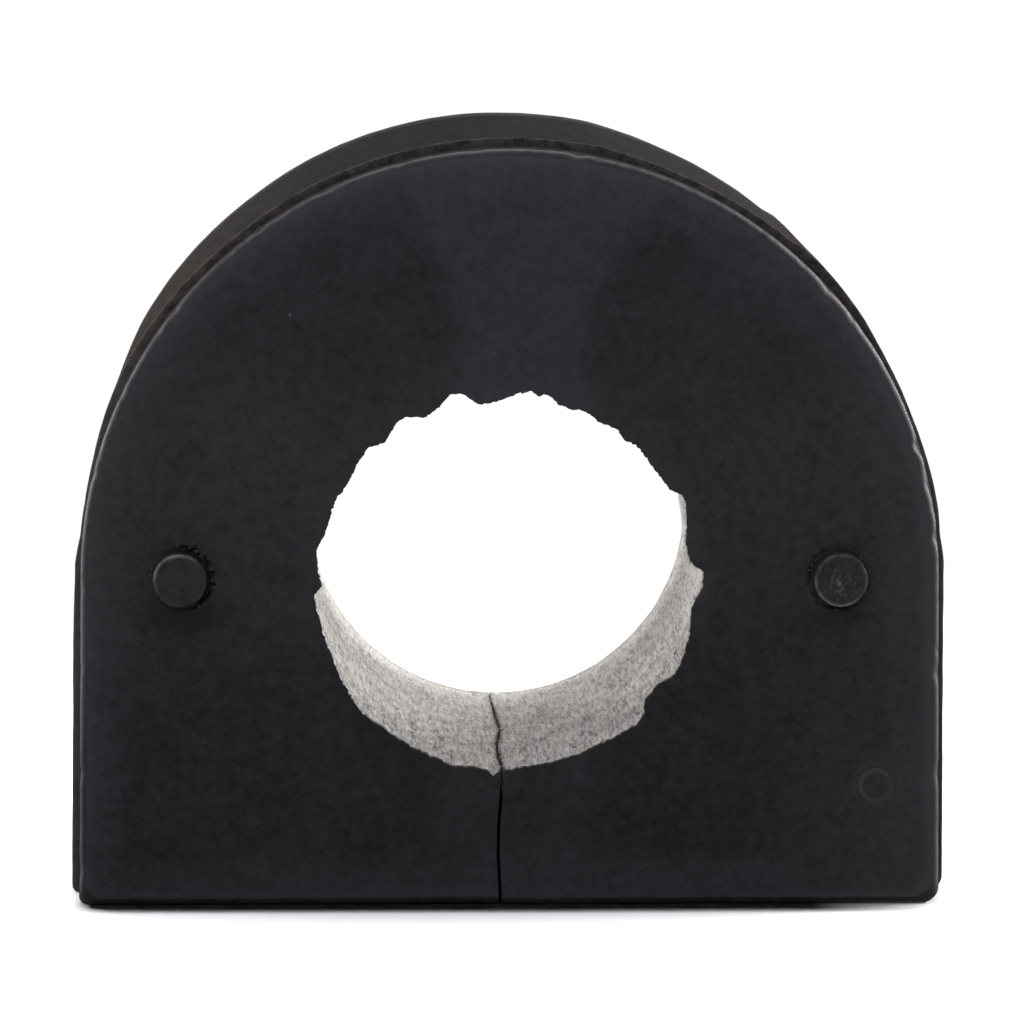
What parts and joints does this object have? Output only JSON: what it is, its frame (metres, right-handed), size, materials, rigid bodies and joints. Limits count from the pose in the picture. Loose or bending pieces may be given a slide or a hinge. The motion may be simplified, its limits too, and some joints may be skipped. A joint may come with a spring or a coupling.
{
  "type": "sway bar bushing",
  "caption": "Split D-shaped rubber bushing with a fabric-lined bore that holds a sway bar under a saddle bracket.",
  "frame": {"origin": "on the bore's axis, at the middle of the body's length", "axes": "+Y along the bore from the front face, which has the pegs, towards the rear; +Z from the flat base up to the arch; +X across the base"},
  "size_m": [0.0556, 0.0392, 0.0482],
  "materials": {
    "rubber": "moulded matt black rubber with a faint bloom",
    "liner_fabric": "pale grey felted low-friction fabric with dark flecks"
  },
  "bodies": {
    "root": {"rubber_body": "rubber", "bore_liner": "liner_fabric"}
  },
  "joints": []
}
